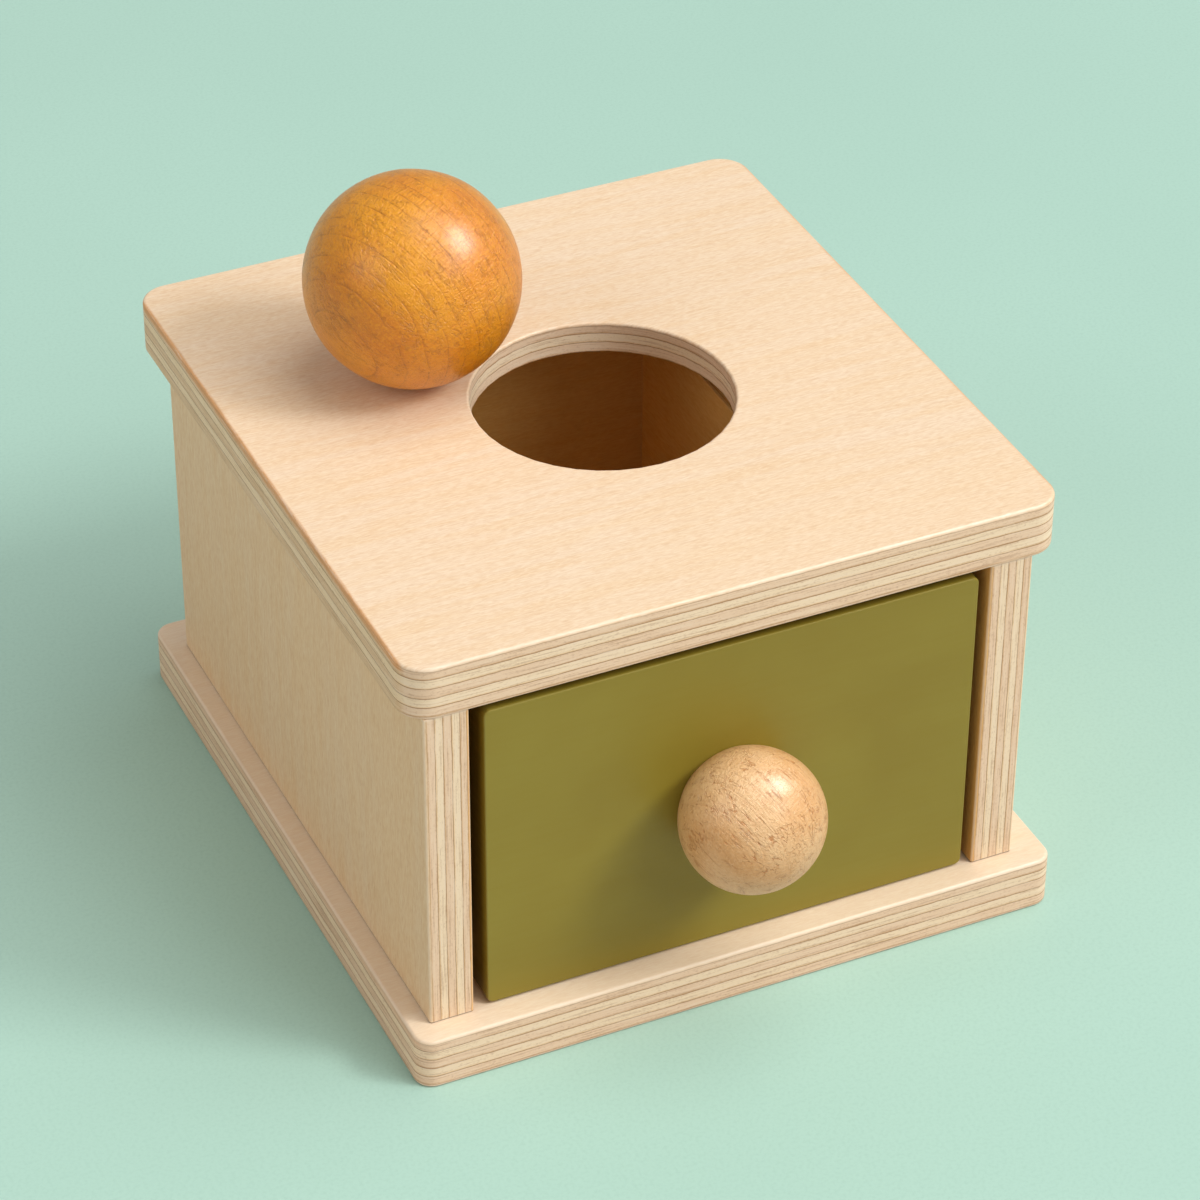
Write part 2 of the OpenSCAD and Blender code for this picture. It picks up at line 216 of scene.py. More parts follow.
def plyStops(look, atEnds=False):
    # veneer, then cross and long plies in turn, with a dark glue line at each joint
    # and glue that has soaked a little way into the ply on its upper side
    names = [ply + "End" if atEnds else ply for ply in ("veneer", "cross", "long", "glue")]
    veneer, cross, long, glue = [look[name] for name in names]
    plies = [veneer, cross, long, cross, long, cross, veneer]
    gapShade = [look["longEdge"] if ply == long else look["crossEdge"] for ply in plies]
    joints = []
    for joint, before, after, edge in zip(look["joints"], plies, plies[1:], gapShade[1:]):
        joints.append([(joint - look["glueWidth"], before), (joint, glue),
                       (joint + look["glueWidth"], edge), (joint + look["soakWidth"], after)])
    if atEnds:  # there the upper veneer's brown end grain runs on into the next ply
        start, full = look["brownEnd"]
        stops = [(0.0, cross)] + sum(joints[1:-1], []) + [(start, cross), (full, veneer)]
    else:
        stops = [(0.0, veneer)] + sum(joints, [])
    return stops + [(1.0, veneer)]


# What a board has where its own dictionary doesn't say otherwise. Bleach, wear and sheen, ends, and
# contact shade go from 0 to 1: pale colour, rubbed edges that are paler partly as a painted
# highlight, brown end grain, and a painted contact shadow, a dark line at the lower end

plainBoard = {
    "seed": 0.0, "tint": white, "edgeTint": white, "bleach": 0.0, "wearAndSheen": 0.6, "ends": 0.0,
    "contactShade": 0.0, "inner": None, "innerShadeTint": white}


def plyFace(tree, noises, depth, board):
    # slow figure, cloudy colour, short flecks and a soft ripple
    look = plyLook
    colour = layered(tree, linear(look["veneer"]), look, noises, look["faceLayers"])
    colour = blendColours(tree, board["bleach"], colour, linear(look["pale"]))
    colour = blendColours(tree, 1.0, colour, linear(board["tint"]), "MULTIPLY")
    if board["inner"]:  # the face that looks along inner is in the case: it gets a painted shade, a darker warm tint for the shade inside the case
        blend = look["innerShadeBlend"] * board["inner"]
        shadedInside = spread(tree, depth, 0.5 - blend, 0.5 + blend)
        colour = blendColours(tree, shadedInside, colour, linear(board["innerShadeTint"]), "MULTIPLY")
    return colour


def plyEdge(tree, noises, depth, atEnd, board):
    # the plies, streaks that run round the board, and open end grain
    look = plyLook
    colour = blendColours(tree, atEnd, colourRamp(tree, depth, plyStops(look)),
                          colourRamp(tree, depth, plyStops(look, True)))
    colour = layered(tree, colour, look, noises, look["edgeLayers"])
    return blendColours(tree, 1.0, colour, linear(board["edgeTint"]), "MULTIPLY")


def plywood(name, low, high, through, along, board):
    # through is the axis across the plies, along is the one of the face grain
    look = plyLook
    board = {**plainBoard, **board}
    mat, tree = freshMaterial(name)
    place = objectPlace(tree)
    parts = split(tree, place)
    start = tuple(board["seed"] * share for share in look["seedShares"])
    across = 3 - through - along  # the axis that is left
    noises = makeNoises(tree, mapped(tree, place, Location=start), look["noises"],
                        (along, across, through))
    noises["cutEdge"] = weightedSum(tree, noises, look["cutEdge"])

    # depth is where a point lies from one face to the other, core is 1 between the veneers
    slow, quick = [spread(tree, noises[wave], 0, 1, -look[wave], look[wave])
                   for wave in ("slowWave", "quickWave")]
    depth = spread(tree, parts[through], low[through], high[through])
    depth = calc(tree, "ADD", depth, calc(tree, "ADD", slow, quick))
    toLowEnd = calc(tree, "SUBTRACT", parts[along], low[along])
    toHighEnd = calc(tree, "SUBTRACT", high[along], parts[along])
    toEnds = calc(tree, "MINIMUM", toLowEnd, toHighEnd)
    atEnd = fade(tree, toEnds, look["endReach"], board["ends"])
    fromMiddle = calc(tree, "ABSOLUTE", calc(tree, "SUBTRACT", depth, 0.5))
    veneerStart, blend = 0.5 - look["joints"][0], look["faceBlend"]
    core = spread(tree, fromMiddle, veneerStart - blend, veneerStart + blend, 1, 0)
    core = calc(tree, "MAXIMUM", core, atEnd)
    colour = blendColours(tree, core, plyFace(tree, noises, depth, board),
                          plyEdge(tree, noises, depth, atEnd, board))

    # rubbed edges, paler partly as a painted highlight, and a painted contact shadow: a thin dark
    # line where the lower end stands on another board
    wornSheen = calc(tree, "MULTIPLY", edgeNearness(tree, parts, low, high, look["wornSheenReach"]),
                calc(tree, "SUBTRACT", 1.0, atEnd))
    wornSheen = calc(tree, "MULTIPLY", wornSheen, board["wearAndSheen"])
    colour = blendColours(tree, wornSheen, colour, linear(look["wornSheen"]))
    atContactShade = fade(tree, toLowEnd, look["contactShadeReach"], board["contactShade"])
    colour = blendColours(tree, atContactShade, colour, linear(look["contactShade"]))
    rough = spread(tree, noises["ripple"], *noiseRange, *look["roughness"])
    noises["grooves"] = calc(tree, "MULTIPLY", noises["cutEdge"], core)
    finishMaterial(tree, colour, rough, weightedSum(tree, noises, look["relief"]), look)
    return mat


# Olive paint of the drawer front. Its sides, between the rim and the back face, are painted darker
# olive as painted shade for the gaps beside the drawer; the reaches are millimetres from the front
# and from the back

paintLook = {
    "colour": (146, 132, 46), "light": (152, 138, 52), "dark": (141, 122, 38),
    # side is the painted shade colour of the drawer front's sides
    "edge": (158, 146, 72), "side": (92, 77, 23),
    "noises": {"cloud": ((24, 24, 34), 3, 0.55, 0.4), "brush": ((60, 60, 900), 3, 0.6, 0.3),
               "peel": ((1400, 1400, 1400), 2, 0.5, 0.0)},
    "clouds": (("cloud", 0.34, 0.66, 1.0, "light"),), "evenness": 0.55,
    "brushMarks": (("brush", 0.4, 0.75, 0.1, "dark"),),
    "wornSheenReach": 0.6, "rubAndSheen": (0.1, 0.5),
    "frontReach": (0.4, 3.0), "frontGapShade": (0.0, 0.9),
    "backReach": (0.1, 0.6), "backGapShade": (0.2, 1.0),
    "relief": {"peel": 0.6, "brush": 0.8}, "roughness": (0.36, 0.48), "bump": (0.18, 0.08),
}


def olivePaint(name, low, high):
    look = paintLook
    mat, tree = freshMaterial(name)
    place = objectPlace(tree)
    parts = split(tree, place)
    noises = makeNoises(tree, place, look["noises"])
    colour = layered(tree, linear(look["dark"]), look, noises, look["clouds"])
    colour = blendColours(tree, look["evenness"], colour, linear(look["colour"]))
    colour = layered(tree, colour, look, noises, look["brushMarks"])
    # rubbed edges: the paint is paler on the rim, partly wear and partly a painted highlight
    wornSheen = edgeNearness(tree, parts, low, high, look["wornSheenReach"])
    rubbedAndSheen = calc(tree, "MULTIPLY", wornSheen, spread(tree, noises["cloud"], *noiseRange, *look["rubAndSheen"]))
    colour = blendColours(tree, rubbedAndSheen, colour, linear(look["edge"]))
    # painted shade: darker olive on the sides, from behind the rim to near the back face, for the
    # shade in the gaps
    fromFront = calc(tree, "SUBTRACT", parts[1], low.y)
    fromBack = calc(tree, "SUBTRACT", high.y, parts[1])
    gapShade = calc(tree, "MULTIPLY", fade(tree, fromFront, look["frontReach"], *look["frontGapShade"]),
                  fade(tree, fromBack, look["backReach"], *look["backGapShade"]))
    colour = blendColours(tree, gapShade, colour, linear(look["side"]))
    rough = spread(tree, noises["brush"], *noiseRange, *look["roughness"])
    finishMaterial(tree, colour, rough, weightedSum(tree, noises, look["relief"]), look)
    return mat


# Turned wood of the ball and the knob. Fibres and heart are directions: the way the grain
# runs, and the one where the growth rings are widest. The noises' scales are along the grain,
# towards the heart and across both, and the ring gap is in millimetres

turnedLook = {
    "noises": {
        "drift": ((22, 55, 55), 3, 0.5, 0.0), "fine": ((260, 2300, 2300), 3, 0.6, 0.5),
        "ray": ((2100, 620, 2100), 2, 0.55, 0.9), "breaks": ((120, 260, 260), 2, 0.55, 0.0),
        "cloud": ((40, 60, 60), 2, 0.55, 0.0), "strokes": ((210, 620, 620), 1, 0.55, 0.0)},
    "fibres": (0.467, -0.673, -0.573), "heart": (-0.79, -0.28, -0.18),
    "threadWidth": (0.012, 0.04), "threadStrokes": (0.5, 0.58),
    "lateStart": 0.6, "lateEnd": 0.96, "lateCurve": 6.0,
    "ringBreaks": (0.35, 0.6), "ringStrength": (0.15, 1.0),
    "relief": {"ray": 0.9, "fine": -0.7, "rings": -0.3, "threads": -0.4},
}
ballLook = {
    **turnedLook,
    "colour": (229, 138, 8), "light": (242, 162, 20), "dark": (210, 116, 2), "vein": (166, 82, 6),
    "ringGap": 3.2, "ringDrift": 1.0,
    "ownNoises": {"dash": ((150, 1900, 1900), 2, 0.5, 0.4),
                  "level": ((110, 1500, 1500), 1, 0.55, 0.6)},
    "layers": (("cloud", 0.35, 0.65, 1.0, "light"), ("rings", 0.0, 1.0, 0.6, "vein"),
               ("fine", 0.45, 0.66, 0.25, "dark"), ("ray", 0.52, 0.64, 0.6, "light"),
               ("ray", 0.46, 0.34, 0.35, "dark"), ("dash", 0.64, 0.72, 0.25, "vein"),
               ("threads", 0.0, 1.0, 0.18, "vein")),
    "roughness": (0.36, 0.48), "specular": 0.4, "coat": (0.6, 0.31), "bump": (1.0, 0.4),
}
knobLook = {
    **turnedLook,
    "colour": (230, 174, 112), "light": (244, 202, 150), "dark": (212, 150, 92),
    "vein": (192, 108, 26), "ringGap": 3.4, "ringDrift": 1.4,
    "ownNoises": {"dash": ((180, 1900, 1900), 2, 0.5, 0.4),
                  "level": ((60, 1000, 1000), 1, 0.55, 0.6)},
    "layers": (("cloud", 0.35, 0.65, 1.0, "light"), ("rings", 0.0, 1.0, 0.2, "vein"),
               ("fine", 0.45, 0.66, 0.35, "dark"), ("ray", 0.52, 0.64, 0.4, "light"),
               ("ray", 0.46, 0.34, 0.3, "dark"), ("dash", 0.65, 0.73, 0.5, "vein"),
               ("threads", 0.0, 1.0, 0.6, "vein")),
    "roughness": (0.36, 0.5), "specular": 0.45, "coat": (0.5, 0.3), "bump": (1.0, 0.3),
}


def turnedWood(name, centre, look):
    mat, tree = freshMaterial(name)
    fibres = Vector(look["fibres"]).normalized()
    heart = Vector(look["heart"])
    heart = (heart - fibres * heart.dot(fibres)).normalized()
    turn = Matrix((fibres, heart, fibres.cross(heart))).to_euler("XYZ")
    centred = mapped(tree, objectPlace(tree), Location=-centre)
    turned = mapped(tree, centred, Rotation=turn)  # X along the fibres, Y towards the heart
    noises = makeNoises(tree, turned, {**look["noises"], **look["ownNoises"]})
    # threads: the thin line where a stretched noise crosses its middle, broken into strokes
    fromLine = calc(tree, "ABSOLUTE", calc(tree, "SUBTRACT", noises["level"], 0.5))
    line = spread(tree, fromLine, *look["threadWidth"], 1, 0)
    strokes = spread(tree, noises["strokes"], *look["threadStrokes"])
    noises["threads"] = calc(tree, "MULTIPLY", line, strokes)
    # growth rings: steps along Y, each one darkening to a thin late line
    steps = calc(tree, "DIVIDE", split(tree, turned)[1], look["ringGap"] * mm)
    drift = calc(tree, "MULTIPLY", noises["drift"], look["ringDrift"])
    ring = calc(tree, "FRACT", calc(tree, "ADD", steps, drift))
    lateWood = spread(tree, ring, look["lateStart"], look["lateEnd"])
    lateWood = calc(tree, "MULTIPLY", calc(tree, "POWER", lateWood, look["lateCurve"]),
                    spread(tree, ring, look["lateEnd"], 1.0, 1, 0))
    gaps = spread(tree, noises["breaks"], *look["ringBreaks"], *look["ringStrength"])
    noises["rings"] = calc(tree, "MULTIPLY", lateWood, gaps)

    colour = layered(tree, linear(look["colour"]), look, noises, look["layers"])
    rough = spread(tree, noises["fine"], *noiseRange, *look["roughness"])
    finishMaterial(tree, colour, rough, weightedSum(tree, noises, look["relief"]), look)
    return mat


# Dowels and screws: a noise each for the tone, the roughness and the bump

dowelLook = {
    "dark": (196, 152, 104), "light": (228, 190, 142),
    "noises": {"grain": ((900, 900, 900), 4, 0.6, 0.0), "cloud": ((300, 300, 300), 2, 0.55, 0.0)},
    "tone": "grain", "sheen": "cloud", "relief": "grain",
    "roughness": (0.45, 0.6), "bump": (0.3, 0.1),
}
screwLook = {
    "dark": (168, 168, 164), "light": (196, 194, 186),
    "noises": {"scratch": ((2500, 400, 2500), 3, 0.6, 0.0),
               "cloud": ((300, 300, 300), 2, 0.55, 0.0)},
    "tone": "cloud", "sheen": "scratch", "relief": "scratch",
    "roughness": (0.25, 0.45), "metallic": 1.0, "specular": 0.5, "bump": (0.2, 0.05),
}


def fittingFinish(name, look):
    mat, tree = freshMaterial(name)
    noises = makeNoises(tree, objectPlace(tree), look["noises"])
    stops = list(zip(noiseRange, (look["dark"], look["light"])))
    colour = colourRamp(tree, noises[look["tone"]], stops)
    rough = spread(tree, noises[look["sheen"]], *noiseRange, *look["roughness"])
    finishMaterial(tree, colour, rough, noises[look["relief"]], look)
    return mat


# Boards: a cube with its upright corners and its rims rounded, then real holes

def flatBoard(low, high, upright, shape):
    # upright is the axis that the corner edges run along; steps are for the corners and rims
    bm = bmesh.new()
    bmesh.ops.create_cube(bm, size=1)
    bmesh.ops.scale(bm, vec=high - low, verts=bm.verts)
    bmesh.ops.translate(bm, vec=(low + high) / 2, verts=bm.verts)

    def rise(edge):
        return abs(edge.verts[0].co[upright] - edge.verts[1].co[upright])

    def roundOver(edges, radius, steps):
        bmesh.ops.bevel(bm, geom=edges, offset=radius * mm, segments=steps, profile=0.5,
                        affect="EDGES", material=-1)

    cornerSteps, rimSteps = shape["steps"]
    roundOver([e for e in bm.edges if rise(e) > mm], shape["corner"], cornerSteps)
    roundOver([e for e in bm.edges if rise(e) < 0.01 * mm], shape["rim"], rimSteps)
    bm.normal_update()
    return bm


def openFace(bm, direction):
    # takes out the flat face that looks that way, and keeps its outline
    flat = [face for face in bm.faces if face.normal.dot(direction) > 0.999]
    face = max(flat, key=lambda f: f.calc_area())
    outline = list(face.edges)
    bmesh.ops.delete(bm, geom=[face], context="FACES_ONLY")
    return outline


def spinHole(bm, centre, inwards, profile, steps=40):
    # profile is (radius, depth) from the mouth on
    side = inwards.orthogonal().normalized()
    line = [bm.verts.new(centre + side * radius + inwards * depth) for radius, depth in profile]
    edges = [bm.edges.new(pair) for pair in zip(line, line[1:])]
    bmesh.ops.spin(bm, geom=line + edges, cent=centre, axis=inwards, angle=fullTurn, steps=steps,
                   use_merge=True)


def cutSlot(bm, low, high, inwards, depth):
    # low and high are opposite corners of the slot's mouth
    corners = bmesh.ops.create_grid(bm, x_segments=1, y_segments=1, size=0.5)["verts"]
    mouth = corners[0].link_faces[0]
    span = high - low
    flat = [axis for axis in range(3) if abs(inwards[axis]) < 0.5]
    for vert in mouth.verts:
        shares = (vert.co.x + 0.5, vert.co.y + 0.5)
        vert.co = low.copy()
        for axis, share in zip(flat, shares):
            vert.co[axis] += span[axis] * share
    made = bmesh.ops.extrude_face_region(bm, geom=[mouth], use_keep_orig=False)["geom"]
    pushed = [item for item in made if isinstance(item, bmesh.types.BMVert)]
    bmesh.ops.translate(bm, vec=inwards * depth, verts=pushed)
    if mouth.is_valid:
        bmesh.ops.delete(bm, geom=[mouth], context="FACES_ONLY")


def drill(bm, axis, side, holes, slots=(), farHoles=(), through=False):
    # holes open on the face that looks along side of axis, farHoles on the opposite face
    outwards = Vector([side if k == axis else 0 for k in range(3)])
    faces = [(outwards, holes)]
    if farHoles or through:
        faces.append((-outwards, farHoles))
    opened = []
    for direction, group in faces:
        outline = openFace(bm, direction)
        opened.append((direction, group, outline, outline[0].verts[0].co[axis]))
    known = set(bm.edges)
    for direction, group, _, level in opened:
        for spot, profile in group:
            centre = Vector(spot)
            centre[axis] = level
            spinHole(bm, centre, -direction, profile)
    for low, high, depth in slots:
        cutSlot(bm, low, high, -outwards, depth)
    fresh = [e for e in bm.edges if e not in known]
    for direction, _, outline, level in opened:
        mouths = [e for e in fresh if all(abs(v.co[axis] - level) < samePoint for v in e.verts)]
        bmesh.ops.triangle_fill(bm, use_beauty=True, edges=outline + mouths, normal=direction)
    bm.normal_update()


def arc(radius, start, end, steps, centre=(0, 0), stretch=1.0):
    # points on an arc, as (radius, depth), with angles in degrees
    turns = [math.radians(start + (end - start) * k / steps) for k in range(steps + 1)]
    return [(centre[0] + radius * math.cos(t), centre[1] + radius * math.sin(t) * stretch)
            for t in turns]


shading = {"sharpAngle": 38, "flatWeight": 80}  # degrees, and how much the flat faces decide


def makePiece(name, bm, body, mat, replaced, flat=True):
    bmesh.ops.remove_doubles(bm, verts=bm.verts, dist=samePoint)
    bmesh.ops.recalc_face_normals(bm, faces=bm.faces)
    mesh = bpy.data.meshes.new(name)
    bm.to_mesh(mesh)
    bm.free()
    mesh.polygons.foreach_set("use_smooth", [True] * len(mesh.polygons))
    mesh.set_sharp_from_angle(angle=math.radians(shading["sharpAngle"]))
    mesh.materials.append(mat)
    piece = bpy.data.objects.new(name, mesh)
    scene.collection.objects.link(piece)
    if flat:
        even = piece.modifiers.new("even_shading", "WEIGHTED_NORMAL")
        even.keep_sharp = True
        even.weight = shading["flatWeight"]
    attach(piece, body)
    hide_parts(replaced)


def dress(node, mat):
    mesh = nodes[node].data
    mesh.materials.clear()
    mesh.materials.append(mat)


def millimetres(*values):
    return tuple(v * mm for v in values)


def inMetres(profile):
    return [millimetres(*point) for point in profile]


# Screws and dowels of the case: the places and sizes of the part's own holes, in millimetres

fitting = {
    "screwSpots": {"left_side_board": [(-62.75, -50), (-62.75, 46)],
                   "right_side_board": [(59.75, -50), (59.75, 46)],
                   "back_board": [(-36, 63.25), (33, 63.25)]},
    "screwHead": [(3.55, 0), (3.55, 0.95), (1.8, 4.1)], "screwReach": 31.0, "screwRadius": 1.8,
    "dowelRadius": 2.55, "dowelInTop": 7.5, "dowelInUpright": 15.3, "dowelInSide": 6.0,
    "dowelInBack": 16.8, "dowelHeights": (34, 66), "backMiddle": 63.25,
}


def blindHole(radius, depth):
    return inMetres([(radius, 0), (radius, depth), (0, depth)])


def spots(boards):
    return [Vector(millimetres(x, y, 0)) for board in boards
            for x, y in fitting["screwSpots"][board]]


# Case

baseShape = {"corner": 4.0, "rim": 0.7, "steps": (10, 5), "seed": 0.31, "bleach": 0.45, "ends": 0.3}


def makeBase():
    low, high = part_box("base_plate")
    bm = flatBoard(low, high, 2, baseShape)
    profile = inMetres(fitting["screwHead"]) + [(fitting["screwRadius"] * mm, high.z - low.z)]
    screws = [(spot, profile) for spot in spots(fitting["screwSpots"])]
    drill(bm, 2, -1, screws, through=True)
    mat = plywood("base_plywood", low, high, 2, 0, baseShape)
    makePiece("base_board", bm, "case", mat, "base_plate")


topShape = {"corner": 6.5, "rim": 0.7, "steps": (12, 5), "hole": (3, 0), "holeRadius": 27.5,
            "holeWall": 7.0, "holeEase": 0.6, "easeSteps": 5, "reliefRadius": 38.0, "ends": 0.9}


def makeTop():
    low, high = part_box("top_plate")
    bm = flatBoard(low, high, 2, topShape)
    radius, wall, relief = topShape["holeRadius"], topShape["holeWall"], topShape["reliefRadius"]
    ease = topShape["holeEase"]
    profile = arc(ease, -90, -180, topShape["easeSteps"], (radius + ease, ease))
    profile += [(radius, wall), (relief, wall), (relief, (high.z - low.z) / mm)]
    ballHole = [(Vector(millimetres(*topShape["hole"], 0)), inMetres(profile))]
    dowel = blindHole(fitting["dowelRadius"], fitting["dowelInTop"])
    dowels = [(spot, dowel) for spot in spots(fitting["screwSpots"])]
    drill(bm, 2, 1, ballHole, farHoles=dowels)
    mat = plywood("top_plywood", low, high, 2, 0, topShape)
    makePiece("top_board", bm, "case", mat, "top_plate")


# the uprights get the painted contact shadow at their lower end
sideShape = {"corner": 0.5, "rim": 0.25, "steps": (4, 2), "tint": (253, 249, 234),
             # the inner faces' tint is a painted shade, darker and warmer for the shade inside the
             # case
             "innerShadeTint": (248, 218, 158), "contactShade": 0.8}
uprights = {  # board: (node, axis through the plies, grain seed, side that looks into the case)
    "left_side_board": ("left_side_panel", 0, 0.17, 1),
    "right_side_board": ("right_side_panel", 0, 0.53, -1),
    "back_board": ("back_panel", 1, 0.71, None),
}


def makeUpright(name, node, through, seed, inner):
    low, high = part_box(node)
    bm = flatBoard(low, high, 2, sideShape)
    ends = spots([name])  # they lie on the board's own middle line
    dowel = blindHole(fitting["dowelRadius"], fitting["dowelInUpright"])
    screw = blindHole(fitting["screwRadius"], fitting["screwReach"] - low.z / mm)
    drill(bm, 2, 1, [(s, dowel) for s in ends], farHoles=[(s, screw) for s in ends])
    joints = [Vector(millimetres(0, fitting["backMiddle"], z)) for z in fitting["dowelHeights"]]
    if inner:
        peg = blindHole(fitting["dowelRadius"], fitting["dowelInSide"])
        drill(bm, 0, inner, [(s, peg) for s in joints])
    else:  # the back takes dowels at both its sides
        peg = blindHole(fitting["dowelRadius"], fitting["dowelInBack"])
        drill(bm, 0, 1, [(s, peg) for s in joints], farHoles=[(s, peg) for s in joints])
    mat = plywood(name + "_plywood", low, high, through, 2,
                  {**sideShape, "seed": seed, "inner": inner})
    makePiece(name, bm, "case", mat, node)


makeBase()
makeTop()
for name, settings in uprights.items():
    makeUpright(name, *settings)
print("case built")

# Drawer front: its rim and corners are rounded, and its back takes the dowels, the knob
# screw and the drawer's bottom

frontShape = {"corner": 1.4, "rim": 0.35, "steps": (6, 4),
              "pins": [(-43, 28.4), (-43, 68.25), (40, 28.4), (40, 68.25)],
              "pinRadius": 2.05, "pinDepth": 5.5, "knob": (-1.5, 49.075),
              "screwHead": [(4.05, 0), (4.05, 0.8), (2.05, 4.4)], "screwRadius": 2.05,
              "slot": ((-41.25, 15.3), (38.25, 19.5)), "slotDepth": 3.0}


def makeDrawerFront():
    low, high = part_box("drawer_front")
    bm = flatBoard(low, high, 1, frontShape)
    pin = blindHole(frontShape["pinRadius"], frontShape["pinDepth"])
    holes = [(Vector(millimetres(x, 0, z)), pin) for x, z in frontShape["pins"]]
    x, z = frontShape["knob"]
    screw = inMetres(frontShape["screwHead"]) + [(frontShape["screwRadius"] * mm, high.y - low.y)]
    holes.append((Vector(millimetres(x, 0, z)), screw))
    corners = [Vector((x * mm, high.y, z * mm)) for x, z in frontShape["slot"]]
    slot = (*corners, frontShape["slotDepth"] * mm)
    drill(bm, 1, 1, holes, slots=[slot], through=True)
    mat = olivePaint("olive_paint_finish", low, high)
    makePiece("painted_drawer_front", bm, "drawer", mat, "drawer_front")


makeDrawerFront()

# Knob: one profile, from the screw hole's end round to the flattened nose, spun about
# the knob's own axis. Its foot is eased: (shares of ease inwards, shares of ease deep)

knobShape = {"radius": 15.0, "flat": 10.0, "nose": 14.3, "hole": 2.05, "holeDepth": 15.4,
             "ease": 0.5, "foot": ((2.2, 0), (1.2, 0.1), (0.4, 0.5)), "footAngle": 3,
             "steps": 96, "backSteps": 14, "noseSteps": 30}


def makeKnob():
    low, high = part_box("knob")
    radius, flat, ease = knobShape["radius"], knobShape["flat"], knobShape["ease"]
    centre = Vector(((low.x + high.x) / 2, high.y, (low.z + high.z) / 2))
    start = -math.degrees(math.asin(flat / radius)) + knobShape["footAngle"]
    back = arc(radius, start, 0, knobShape["backSteps"], (0, flat))
    nose = arc(radius, 0, 90, knobShape["noseSteps"], (0, flat), knobShape["nose"] / radius)
    foot = [(back[0][0] - inwards * ease, deep * ease) for inwards, deep in knobShape["foot"]]
    profile = [(0, knobShape["holeDepth"]), (knobShape["hole"], knobShape["holeDepth"]),
               (knobShape["hole"], 0)] + foot + back + nose[1:]
    bm = bmesh.new()
    spinHole(bm, centre, Vector((0, -1, 0)), inMetres(profile), knobShape["steps"])
    mat = turnedWood("knob_beech_wood", (low + high) / 2, knobLook)
    makePiece("turned_knob", bm, "drawer", mat, "knob", flat=False)


makeKnob()
print("drawer front and knob built")

# Ball: a fine round, nudged very slightly so that it has the soft flats of sanded wood

ballShape = {"detail": 6, "flats": 0.06, "flatSize": 7.0}


def makeBall():
    low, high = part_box("ball")
    centre = (low + high) / 2
    radius = (high.x - low.x) / 2
    bm = bmesh.new()
    bmesh.ops.create_icosphere(bm, subdivisions=ballShape["detail"], radius=radius)
    for vert in bm.verts:
        nudge = noise.noise(vert.co / (ballShape["flatSize"] * mm)) * ballShape["flats"] * mm
        vert.co = vert.co * (1 + (nudge - ballShape["flats"] * mm) / radius)
    bmesh.ops.translate(bm, vec=centre, verts=bm.verts)
    mat = turnedWood("honey_ball_wood", centre, ballLook)
    makePiece("honey_ball", bm, "ball", mat, "ball", flat=False)


makeBall()
print("ball built")

# What stays as the frame has it: rails, drawer box and fastenings

# the rails and the drawer box get a deeper, warmer tint than the case as painted shade, for the
# warm shade inside the case
keptWearAndSheen, railShadeTint, trayShadeTint = 0.08, (243, 220, 166), (243, 218, 152)
keptBoards = {  # node: (axis through the plies, axis along the face grain, seed, tint)
    "left_guide_rail": (0, 1, 0.11, railShadeTint), "right_guide_rail": (0, 1, 0.23, railShadeTint),
    "drawer_left_side": (0, 1, 0.41, trayShadeTint), "drawer_right_side": (0, 1, 0.47, trayShadeTint),
    "drawer_back": (1, 0, 0.61, trayShadeTint), "drawer_bottom": (2, 0, 0.67, trayShadeTint),
}
for node, (through, along, seed, tint) in keptBoards.items():
    low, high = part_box(node)
    board = {"seed": seed, "tint": tint, "edgeTint": tint, "wearAndSheen": keptWearAndSheen}
    dress(node, plywood(node + "_plywood", low, high, through, along, board))
beech = fittingFinish("dowel_beech_wood", dowelLook)
for node in ("top_dowels", "back_dowels", "drawer_front_dowels", "drawer_back_dowels"):
    dress(node, beech)
steel = fittingFinish("screw_zinc_steel", screwLook)
for node in ("base_screws", "knob_screw"):
    dress(node, steel)
print("drawer box and fastenings finished")

# Floor: mint paper. Only what is seen of it is mint, so that the box gets no green cast

floorLook = {
    "size": 8.0, "colour": (174, 210, 197), "patch": (177, 213, 200), "speck": (166, 203, 190),
    "bounce": (197, 192, 182),
    "noises": {"tooth": ((1200, 1200, 1200), 3, 0.6, 0.0), "cloud": ((6, 6, 6), 2, 0.55, 0.0)},
    "layers": (("cloud", 0.3, 0.7, 1.0, "patch"), ("tooth", 0.45, 0.7, 0.6, "speck")),
    "roughness": 0.75, "specular": 0.2, "bump": (0.2, 0.1),
}


def mintPaper(name):
    look = floorLook
    mat, tree = freshMaterial(name)
    noises = makeNoises(tree, objectPlace(tree), look["noises"])
    colour = layered(tree, linear(look["colour"]), look, noises, look["layers"])
    ray = addNode(tree, "LightPath").outputs
    seen = calc(tree, "MAXIMUM", ray["Is Camera Ray"], ray["Is Glossy Ray"])
    seen = calc(tree, "MAXIMUM", seen, ray["Is Transmission Ray"])
    colour = blendColours(tree, seen, linear(look["bounce"]), colour)
    finishMaterial(tree, colour, look["roughness"], noises["tooth"], look)
    return mat


def makeFloor():
    bm = bmesh.new()
    bmesh.ops.create_grid(bm, x_segments=1, y_segments=1, size=floorLook["size"] / 2)
    mesh = bpy.data.meshes.new("studio_floor")
    bm.to_mesh(mesh)
    bm.free()
    floor = bpy.data.objects.new("studio_floor", mesh)
    scene.collection.objects.link(floor)
    mesh.materials.append(mintPaper("mint_paper"))


makeFloor()

# Light. The key gives no highlights: the ball and the knob get theirs from the near softbox,
# which gives nothing else

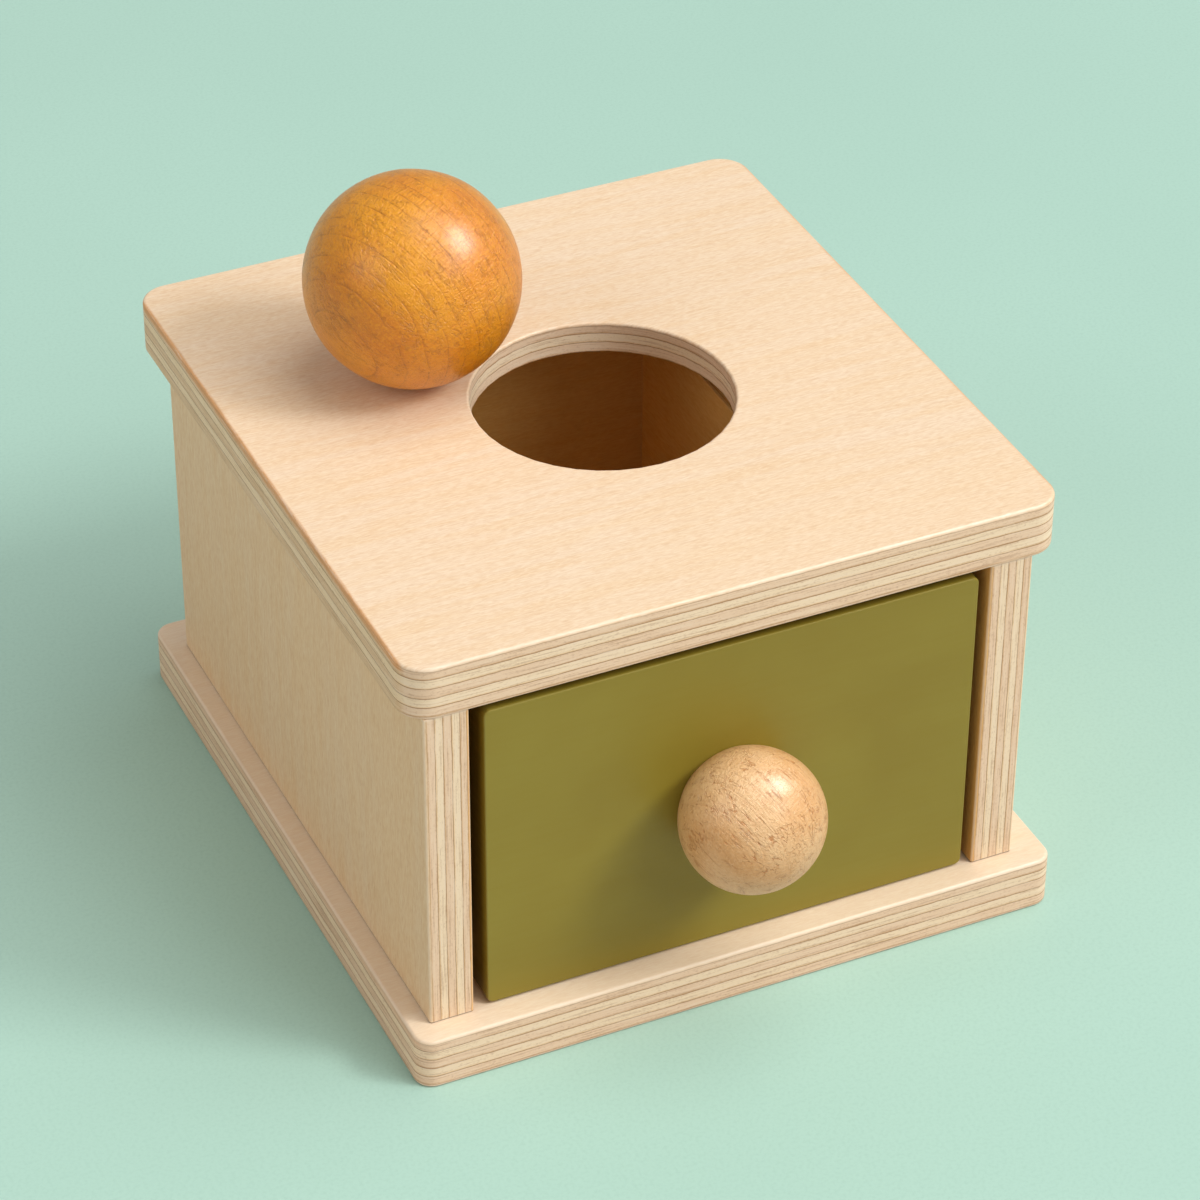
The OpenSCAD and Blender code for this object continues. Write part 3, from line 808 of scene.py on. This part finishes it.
lamps = {  # azimuth from the front round to the right, distance and width in metres, power in watts
    "key_softbox": {"azimuth": 51, "elevation": 41, "distance": 4.4, "width": 1.3, "power": 88.0,
                    "colour": (1.0, 0.99, 0.97), "gloss": False},
    "shine_softbox": {"azimuth": 64, "elevation": 51, "distance": 0.51, "width": 0.22,
                      "power": 2.8, "colour": (1.0, 0.99, 0.97), "diffuse": False},
    "top_softbox": {"azimuth": 66, "elevation": 72, "distance": 4.4, "width": 3.6, "power": 86.0,
                    "colour": (1.0, 0.99, 0.97)},
    "left_fill": {"azimuth": -82, "elevation": 34, "distance": 1.8, "width": 1.1, "power": 5.7,
                  "colour": (1.0, 0.99, 0.96)},
    "front_fill": {"azimuth": 30, "elevation": 36, "distance": 4.4, "width": 1.8, "power": 29.0,
                   "colour": (1.0, 1.0, 0.98)},
}
lampTarget = Vector((0, 0, 0.05))


def towards(azimuth, elevation):
    a, e = math.radians(azimuth), math.radians(elevation)
    return Vector((math.sin(a) * math.cos(e), -math.cos(a) * math.cos(e), math.sin(e)))


def hangLamp(name, lamp):
    data = bpy.data.lights.new(name, "AREA")
    data.shape = "DISK"
    data.size = lamp["width"]
    data.energy = lamp["power"]
    data.color = lamp["colour"]
    hung = bpy.data.objects.new(name, data)
    direction = towards(lamp["azimuth"], lamp["elevation"])
    hung.location = lampTarget + direction * lamp["distance"]
    hung.rotation_euler = (-direction).to_track_quat("-Z", "Y").to_euler()
    hung.visible_glossy = lamp.get("gloss", True)
    hung.visible_diffuse = lamp.get("diffuse", True)
    hung.visible_camera = False
    scene.collection.objects.link(hung)


for name, lamp in lamps.items():
    hangLamp(name, lamp)

airLook = {"light": 0.31, "tone": (255, 251, 246), "seen": (183, 219, 205)}


def studioAir():
    world = bpy.data.worlds.new("studio_air")
    world.use_nodes = True
    scene.world = world
    tree = world.node_tree
    tree.nodes.clear()
    ray = addNode(tree, "LightPath").outputs
    seen = calc(tree, "MAXIMUM", ray["Is Camera Ray"], ray["Is Transmission Ray"])
    glow = addNode(tree, "Background", {0: linear(airLook["tone"]), 1: airLook["light"]})
    backdrop = addNode(tree, "Background", {0: linear(airLook["seen"]), 1: 1.0})
    both = addNode(tree, "MixShader", {0: seen, 1: glow.outputs[0], 2: backdrop.outputs[0]})
    addNode(tree, "OutputWorld", {0: both.outputs[0]})


studioAir()

# Camera: fitted to the photo's edges, eye in metres, angles in degrees, lens in millimetres

cameraLook = {"eye": (-0.31182, -0.67838, 0.58830), "yaw": -24.87, "pitch": 35.85, "roll": 0.30,
              "lens": 130.417, "sensor": 36.0, "clip": (0.05, 20)}


def makeCamera():
    yaw, roll = math.radians(cameraLook["yaw"]), math.radians(cameraLook["roll"])
    back = towards(cameraLook["yaw"], cameraLook["pitch"])
    right = Vector((math.cos(yaw), math.sin(yaw), 0))
    up = back.cross(right)
    across = math.cos(roll) * right + math.sin(roll) * up
    upwards = -math.sin(roll) * right + math.cos(roll) * up
    data = bpy.data.cameras.new("photo_camera")
    data.lens = cameraLook["lens"]
    data.sensor_width = cameraLook["sensor"]
    data.clip_start, data.clip_end = cameraLook["clip"]
    camera = bpy.data.objects.new("photo_camera", data)
    turned = Matrix((across, upwards, back)).transposed().to_4x4()
    camera.matrix_world = Matrix.Translation(cameraLook["eye"]) @ turned
    scene.collection.objects.link(camera)
    scene.camera = camera


makeCamera()
scene.view_settings.view_transform = "Standard"
print("studio ready")
